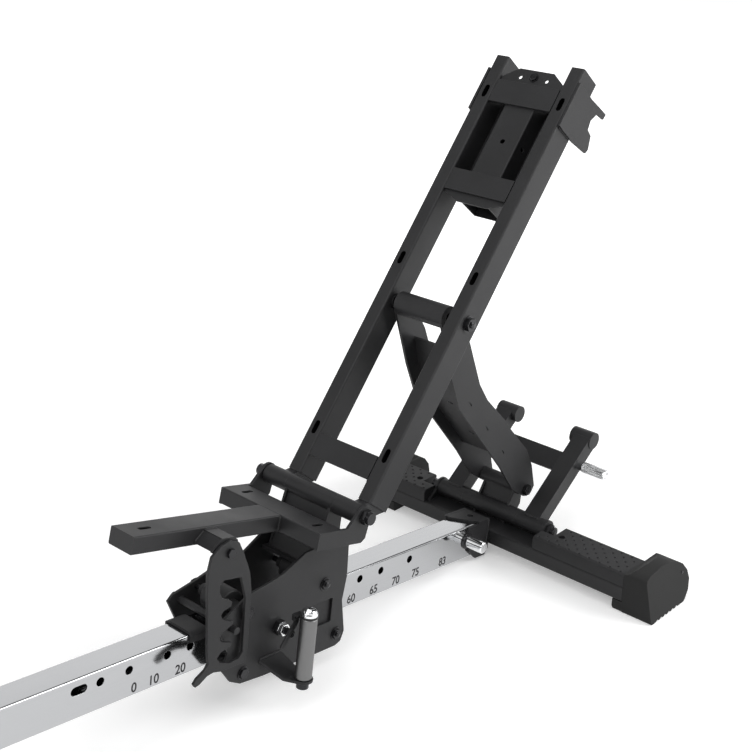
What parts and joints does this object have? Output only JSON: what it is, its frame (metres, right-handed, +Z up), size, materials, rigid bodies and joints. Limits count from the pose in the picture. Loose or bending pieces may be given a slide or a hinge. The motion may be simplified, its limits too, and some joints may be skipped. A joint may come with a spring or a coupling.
{
  "type": "adjustable weight bench frame",
  "caption": "Adjustable utility bench frame: sloping rail with a numbered row of holes, sliding carriage, back frame on a strut, tilting seat frame on a notched latch and folding rear frame.",
  "frame": {"origin": "on the floor, under the middle of the bench's length and width", "axes": "+X towards the rear foot beam, +Y to the left for someone facing the rear, +Z up"},
  "size_m": [1.4749, 0.743, 0.9931],
  "materials": {
    "black": "satin black powder coat",
    "steel": "bright brushed",
    "chrome": "polished",
    "alloy": "knurled, satin",
    "rubber": "matt",
    "nylon": "matt black",
    "zinc": "black zinc"
  },
  "bodies": {
    "base": {"rail": "steel", "rail_cap": "nylon", "front_leg": "black", "front_beam": "black", "front_foot_left": "rubber", "front_foot_right": "rubber", "rear_beam": "black", "rear_foot_left": "rubber", "rear_foot_right": "rubber", "tread_left": "nylon", "tread_right": "nylon", "rear_bracket": "black", "knob_collar": "chrome", "pedestal": "black", "rear_shaft": "zinc", "strut_bolt": "zinc"},
    "knob": {"rail_knob": "chrome"},
    "carriage": {"carriage_plate_left": "black", "carriage_plate_right": "black", "upright": "black", "cross_rod": "black", "axle_upper_front": "zinc", "axle_upper_rear": "zinc", "axle_lower_front": "zinc", "axle_lower_rear": "zinc", "front_guide": "nylon", "pin_boss": "zinc", "grip_bracket": "black", "grip": "alloy", "grip_stem": "chrome", "trigger_mount": "black", "side_pad": "nylon", "main_shaft": "zinc"},
    "roller_uf": {"roller_upper_front": "nylon"},
    "roller_ur": {"roller_upper_rear": "nylon"},
    "roller_lf": {"roller_lower_front": "nylon"},
    "roller_lr": {"roller_lower_rear": "nylon"},
    "pin": {"lock_pin": "zinc"},
    "trigger": {"trigger_arm": "black"},
    "seat": {"seat_spine": "black", "seat_crossbar": "black", "latch_bolt": "zinc"},
    "seat_latch": {"latch": "black"},
    "back": {"back_rail_left": "black", "back_rail_right": "black", "back_low_bar": "black", "back_mid_bar": "black", "back_top_bar": "black", "back_pan": "black", "back_hook_left": "black", "back_hook_right": "black", "back_sleeve_left": "black", "back_sleeve_right": "black", "back_stub_left": "zinc", "back_stub_right": "zinc"},
    "strut": {"strut": "black"},
    "rear_frame": {"rear_arm_left": "black", "rear_arm_right": "black", "rear_plate": "black"},
    "peg": {"rear_peg": "chrome"}
  },
  "joints": [
    {"name": "carriage_slide", "type": "slide", "parent": "base", "child": "carriage", "axis": [0.9914, 0, -0.1305], "range_m": [-0.385, 0.251]},
    {"name": "back_tilt", "type": "hinge", "parent": "carriage", "child": "back", "pos_m": [0.00694, 0.0535, 0.31273], "axis": [0, -1, 0], "range_deg": [-50.05, 32.7]},
    {"name": "strut_swing", "type": "hinge", "parent": "base", "child": "strut", "pos_m": [0.57351, 0.0535, 0.12668], "axis": [0, 1, 0], "range_deg": [-33.95, 22.15]},
    {"name": "seat_tilt", "type": "hinge", "parent": "carriage", "child": "seat", "pos_m": [0.00694, 0.0535, 0.31273], "axis": [0, 1, 0], "range_deg": [-16.5, 7]},
    {"name": "latch_swing", "type": "hinge", "parent": "seat", "child": "seat_latch", "pos_m": [-0.26203, -0.0215, 0.33758], "axis": [0, 1, 0], "range_deg": [-7.75, 18.2]},
    {"name": "trigger_release", "type": "hinge", "parent": "carriage", "child": "trigger", "pos_m": [-0.14343, -0.053, 0.17417], "axis": [0.9914, 0, -0.1305], "range_deg": [0, 13.1]},
    {"name": "lock_pin_slide", "type": "slide", "parent": "carriage", "child": "pin", "axis": [0, 1, 0], "range_m": [0, 0.0076]},
    {"name": "rail_knob_pull", "type": "slide", "parent": "base", "child": "knob", "axis": [0, -1, 0], "range_m": [0, 0.01], "stiffness_N_per_m": 600, "springref_m": -0.005},
    {"name": "rear_frame_turn", "type": "hinge", "parent": "base", "child": "rear_frame", "pos_m": [0.54105, 0.0535, 0.07629], "axis": [0, 1, 0], "range_deg": [0, 25]},
    {"name": "rear_peg_pull", "type": "slide", "parent": "rear_frame", "child": "peg", "axis": [0, -1, 0], "range_m": [0, 0.01], "stiffness_N_per_m": 600, "springref_m": -0.005},
    {"name": "roller_uf_spin", "type": "hinge", "parent": "carriage", "child": "roller_uf", "pos_m": [-0.21698, 0.0535, 0.19777], "axis": [0, 1, 0], "continuous": true},
    {"name": "roller_ur_spin", "type": "hinge", "parent": "carriage", "child": "roller_ur", "pos_m": [-0.03356, 0.0535, 0.17362], "axis": [0, 1, 0], "continuous": true},
    {"name": "roller_lf_spin", "type": "hinge", "parent": "carriage", "child": "roller_lf", "pos_m": [-0.23141, 0.0535, 0.08812], "axis": [0, 1, 0], "continuous": true},
    {"name": "roller_lr_spin", "type": "hinge", "parent": "carriage", "child": "roller_lr", "pos_m": [-0.00636, 0.0535, 0.05849], "axis": [0, 1, 0], "continuous": true}
  ],
  "couplings": [
    {"joint": "back_tilt", "follows": "carriage_slide", "rad_per_m": 2.2667},
    {"joint": "strut_swing", "follows": "carriage_slide", "rad_per_m": 1.5359},
    {"joint": "latch_swing", "follows": "seat_tilt", "ratio": -1.1},
    {"joint": "trigger_release", "follows": "lock_pin_slide", "rad_per_m": 29.85}
  ]
}
